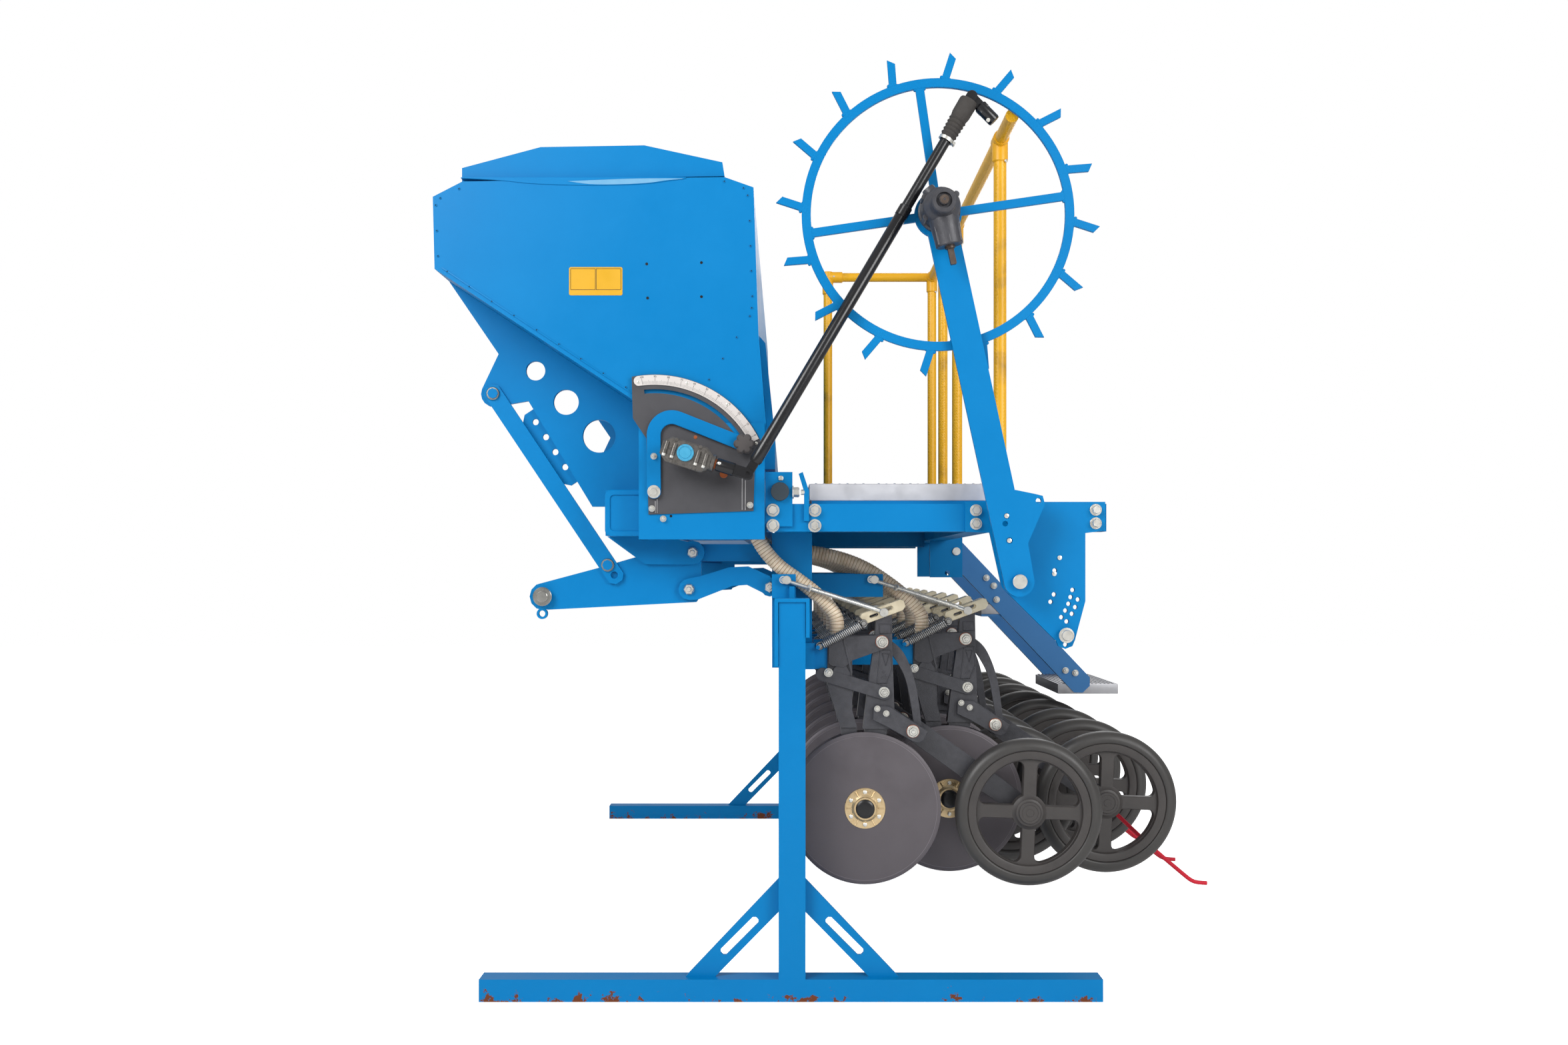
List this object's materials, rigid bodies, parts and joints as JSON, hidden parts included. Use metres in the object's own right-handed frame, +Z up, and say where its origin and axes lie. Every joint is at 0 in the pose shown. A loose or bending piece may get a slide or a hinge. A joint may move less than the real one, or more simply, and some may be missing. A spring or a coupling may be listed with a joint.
{
  "type": "seed drill",
  "caption": "Mounted disc seed drill with a lidded hopper, coulter rows with press wheels, folding spiked ground wheel, platform and ladder, on parking stands.",
  "frame": {"origin": "middle of the whole drill's box, on the floor under the stand feet", "axes": "+X to the rear, +Y to the far side, +Z up; the hopper and hitch are at the front, -X"},
  "size_m": [1.8247, 2.691, 2.1003],
  "materials": {
    "blue_paint": "semi-gloss powder coat, scuffed at the edges",
    "yellow_paint": "semi-gloss paint, worn",
    "black_paint": "satin black paint on cast and pressed steel",
    "cast_iron": "rough cast, unpainted",
    "disc_steel": "dull dark steel with gold zinc hub",
    "zinc": "bright zinc plate",
    "aluminium": "rolled, anti-slip",
    "wheel_rubber": "matt black rubber on black plastic spokes",
    "hose_plastic": "ribbed beige plastic",
    "red_paint": "red paint on spring steel"
  },
  "bodies": {
    "root": {"parking_stands": "blue_paint", "main_frame": "blue_paint", "hitch_frame": "blue_paint", "coulter_frame": "blue_paint", "coupling_arms": "blue_paint", "hitch_links": "blue_paint", "hopper": "blue_paint", "meter_housing": "blue_paint", "rate_quadrant": "black_paint", "rate_lever": "blue_paint", "meter_gearbox": "cast_iron", "arm_plate": "blue_paint", "deck": "aluminium", "handrails": "yellow_paint", "coulter_shanks": "black_paint", "coulter_arms": "black_paint", "seed_boots": "black_paint", "press_arms": "black_paint", "coulter_springs": "zinc", "tie_rods": "zinc", "seed_hoses": "hose_plastic", "covering_tines": "red_paint"},
    "lid": {"hopper_lid": "blue_paint"},
    "wheel_arm": {"wheel_arm": "blue_paint", "wheel_gearbox": "cast_iron"},
    "ground_wheel": {"ground_wheel": "blue_paint"},
    "ladder": {"ladder": "blue_paint"},
    "drive_shaft": {"drive_shaft": "black_paint"},
    "press_wheel_01": {"press_wheel_01": "wheel_rubber"},
    "disc_pair_01": {"disc_pair_01": "disc_steel"},
    "press_wheel_02": {"press_wheel_02": "wheel_rubber"},
    "disc_pair_02": {"disc_pair_02": "disc_steel"},
    "press_wheel_03": {"press_wheel_03": "wheel_rubber"},
    "disc_pair_03": {"disc_pair_03": "disc_steel"},
    "press_wheel_04": {"press_wheel_04": "wheel_rubber"},
    "disc_pair_04": {"disc_pair_04": "disc_steel"},
    "press_wheel_05": {"press_wheel_05": "wheel_rubber"},
    "disc_pair_05": {"disc_pair_05": "disc_steel"},
    "press_wheel_06": {"press_wheel_06": "wheel_rubber"},
    "disc_pair_06": {"disc_pair_06": "disc_steel"},
    "press_wheel_07": {"press_wheel_07": "wheel_rubber"},
    "disc_pair_07": {"disc_pair_07": "disc_steel"},
    "press_wheel_08": {"press_wheel_08": "wheel_rubber"},
    "disc_pair_08": {"disc_pair_08": "disc_steel"},
    "press_wheel_09": {"press_wheel_09": "wheel_rubber"},
    "disc_pair_09": {"disc_pair_09": "disc_steel"},
    "press_wheel_10": {"press_wheel_10": "wheel_rubber"},
    "disc_pair_10": {"disc_pair_10": "disc_steel"},
    "press_wheel_11": {"press_wheel_11": "wheel_rubber"},
    "disc_pair_11": {"disc_pair_11": "disc_steel"},
    "press_wheel_12": {"press_wheel_12": "wheel_rubber"},
    "disc_pair_12": {"disc_pair_12": "disc_steel"},
    "press_wheel_13": {"press_wheel_13": "wheel_rubber"},
    "disc_pair_13": {"disc_pair_13": "disc_steel"},
    "press_wheel_14": {"press_wheel_14": "wheel_rubber"},
    "disc_pair_14": {"disc_pair_14": "disc_steel"},
    "press_wheel_15": {"press_wheel_15": "wheel_rubber"},
    "disc_pair_15": {"disc_pair_15": "disc_steel"},
    "press_wheel_16": {"press_wheel_16": "wheel_rubber"},
    "disc_pair_16": {"disc_pair_16": "disc_steel"}
  },
  "joints": [
    {"name": "lid_hinge", "type": "hinge", "parent": "root", "child": "lid", "pos_m": [-0.8599, 0.0875, 1.839], "axis": [0, -1, 0], "range_deg": [0, 100]},
    {"name": "wheel_arm_fold", "type": "hinge", "parent": "root", "child": "wheel_arm", "pos_m": [0.3856, -1.2195, 0.937], "axis": [0, 1, 0], "range_deg": [0, 125]},
    {"name": "ground_wheel_spin", "type": "hinge", "parent": "wheel_arm", "child": "ground_wheel", "pos_m": [0.2096, -1.2025, 1.745], "axis": [0, 1, 0], "continuous": true},
    {"name": "ladder_fold", "type": "hinge", "parent": "root", "child": "ladder", "pos_m": [0.3726, 0.0875, 1.017], "axis": [0, -1, 0], "range_deg": [0, 90]},
    {"name": "drive_shaft_swing", "type": "hinge", "parent": "root", "child": "drive_shaft", "pos_m": [-0.2084, -1.2305, 1.172], "axis": [0, 1, 0], "range_deg": [-12, 0]},
    {"name": "press_wheel_01_spin", "type": "hinge", "parent": "root", "child": "press_wheel_01", "pos_m": [0.4356, -1.0375, 0.404], "axis": [0, 1, 0], "continuous": true},
    {"name": "disc_pair_01_spin", "type": "hinge", "parent": "root", "child": "disc_pair_01", "pos_m": [0.0566, -1.0375, 0.415], "axis": [0, 1, 0], "continuous": true},
    {"name": "press_wheel_02_spin", "type": "hinge", "parent": "root", "child": "press_wheel_02", "pos_m": [0.6456, -0.8875, 0.404], "axis": [0, 1, 0], "continuous": true},
    {"name": "disc_pair_02_spin", "type": "hinge", "parent": "root", "child": "disc_pair_02", "pos_m": [0.2666, -0.8875, 0.415], "axis": [0, 1, 0], "continuous": true},
    {"name": "press_wheel_03_spin", "type": "hinge", "parent": "root", "child": "press_wheel_03", "pos_m": [0.4356, -0.7375, 0.404], "axis": [0, 1, 0], "continuous": true},
    {"name": "disc_pair_03_spin", "type": "hinge", "parent": "root", "child": "disc_pair_03", "pos_m": [0.0566, -0.7375, 0.415], "axis": [0, 1, 0], "continuous": true},
    {"name": "press_wheel_04_spin", "type": "hinge", "parent": "root", "child": "press_wheel_04", "pos_m": [0.6456, -0.5875, 0.404], "axis": [0, 1, 0], "continuous": true},
    {"name": "disc_pair_04_spin", "type": "hinge", "parent": "root", "child": "disc_pair_04", "pos_m": [0.2666, -0.5875, 0.415], "axis": [0, 1, 0], "continuous": true},
    {"name": "press_wheel_05_spin", "type": "hinge", "parent": "root", "child": "press_wheel_05", "pos_m": [0.4356, -0.4375, 0.404], "axis": [0, 1, 0], "continuous": true},
    {"name": "disc_pair_05_spin", "type": "hinge", "parent": "root", "child": "disc_pair_05", "pos_m": [0.0566, -0.4375, 0.415], "axis": [0, 1, 0], "continuous": true},
    {"name": "press_wheel_06_spin", "type": "hinge", "parent": "root", "child": "press_wheel_06", "pos_m": [0.6456, -0.2875, 0.404], "axis": [0, 1, 0], "continuous": true},
    {"name": "disc_pair_06_spin", "type": "hinge", "parent": "root", "child": "disc_pair_06", "pos_m": [0.2666, -0.2875, 0.415], "axis": [0, 1, 0], "continuous": true},
    {"name": "press_wheel_07_spin", "type": "hinge", "parent": "root", "child": "press_wheel_07", "pos_m": [0.4356, -0.1375, 0.404], "axis": [0, 1, 0], "continuous": true},
    {"name": "disc_pair_07_spin", "type": "hinge", "parent": "root", "child": "disc_pair_07", "pos_m": [0.0566, -0.1375, 0.415], "axis": [0, 1, 0], "continuous": true},
    {"name": "press_wheel_08_spin", "type": "hinge", "parent": "root", "child": "press_wheel_08", "pos_m": [0.6456, 0.0125, 0.404], "axis": [0, 1, 0], "continuous": true},
    {"name": "disc_pair_08_spin", "type": "hinge", "parent": "root", "child": "disc_pair_08", "pos_m": [0.2666, 0.0125, 0.415], "axis": [0, 1, 0], "continuous": true},
    {"name": "press_wheel_09_spin", "type": "hinge", "parent": "root", "child": "press_wheel_09", "pos_m": [0.4356, 0.1625, 0.404], "axis": [0, 1, 0], "continuous": true},
    {"name": "disc_pair_09_spin", "type": "hinge", "parent": "root", "child": "disc_pair_09", "pos_m": [0.0566, 0.1625, 0.415], "axis": [0, 1, 0], "continuous": true},
    {"name": "press_wheel_10_spin", "type": "hinge", "parent": "root", "child": "press_wheel_10", "pos_m": [0.6456, 0.3125, 0.404], "axis": [0, 1, 0], "continuous": true},
    {"name": "disc_pair_10_spin", "type": "hinge", "parent": "root", "child": "disc_pair_10", "pos_m": [0.2666, 0.3125, 0.415], "axis": [0, 1, 0], "continuous": true},
    {"name": "press_wheel_11_spin", "type": "hinge", "parent": "root", "child": "press_wheel_11", "pos_m": [0.4356, 0.4625, 0.404], "axis": [0, 1, 0], "continuous": true},
    {"name": "disc_pair_11_spin", "type": "hinge", "parent": "root", "child": "disc_pair_11", "pos_m": [0.0566, 0.4625, 0.415], "axis": [0, 1, 0], "continuous": true},
    {"name": "press_wheel_12_spin", "type": "hinge", "parent": "root", "child": "press_wheel_12", "pos_m": [0.6456, 0.6125, 0.404], "axis": [0, 1, 0], "continuous": true},
    {"name": "disc_pair_12_spin", "type": "hinge", "parent": "root", "child": "disc_pair_12", "pos_m": [0.2666, 0.6125, 0.415], "axis": [0, 1, 0], "continuous": true},
    {"name": "press_wheel_13_spin", "type": "hinge", "parent": "root", "child": "press_wheel_13", "pos_m": [0.4356, 0.7625, 0.404], "axis": [0, 1, 0], "continuous": true},
    {"name": "disc_pair_13_spin", "type": "hinge", "parent": "root", "child": "disc_pair_13", "pos_m": [0.0566, 0.7625, 0.415], "axis": [0, 1, 0], "continuous": true},
    {"name": "press_wheel_14_spin", "type": "hinge", "parent": "root", "child": "press_wheel_14", "pos_m": [0.6456, 0.9125, 0.404], "axis": [0, 1, 0], "continuous": true},
    {"name": "disc_pair_14_spin", "type": "hinge", "parent": "root", "child": "disc_pair_14", "pos_m": [0.2666, 0.9125, 0.415], "axis": [0, 1, 0], "continuous": true},
    {"name": "press_wheel_15_spin", "type": "hinge", "parent": "root", "child": "press_wheel_15", "pos_m": [0.4356, 1.0625, 0.404], "axis": [0, 1, 0], "continuous": true},
    {"name": "disc_pair_15_spin", "type": "hinge", "parent": "root", "child": "disc_pair_15", "pos_m": [0.0566, 1.0625, 0.415], "axis": [0, 1, 0], "continuous": true},
    {"name": "press_wheel_16_spin", "type": "hinge", "parent": "root", "child": "press_wheel_16", "pos_m": [0.6456, 1.2125, 0.404], "axis": [0, 1, 0], "continuous": true},
    {"name": "disc_pair_16_spin", "type": "hinge", "parent": "root", "child": "disc_pair_16", "pos_m": [0.2666, 1.2125, 0.415], "axis": [0, 1, 0], "continuous": true}
  ]
}
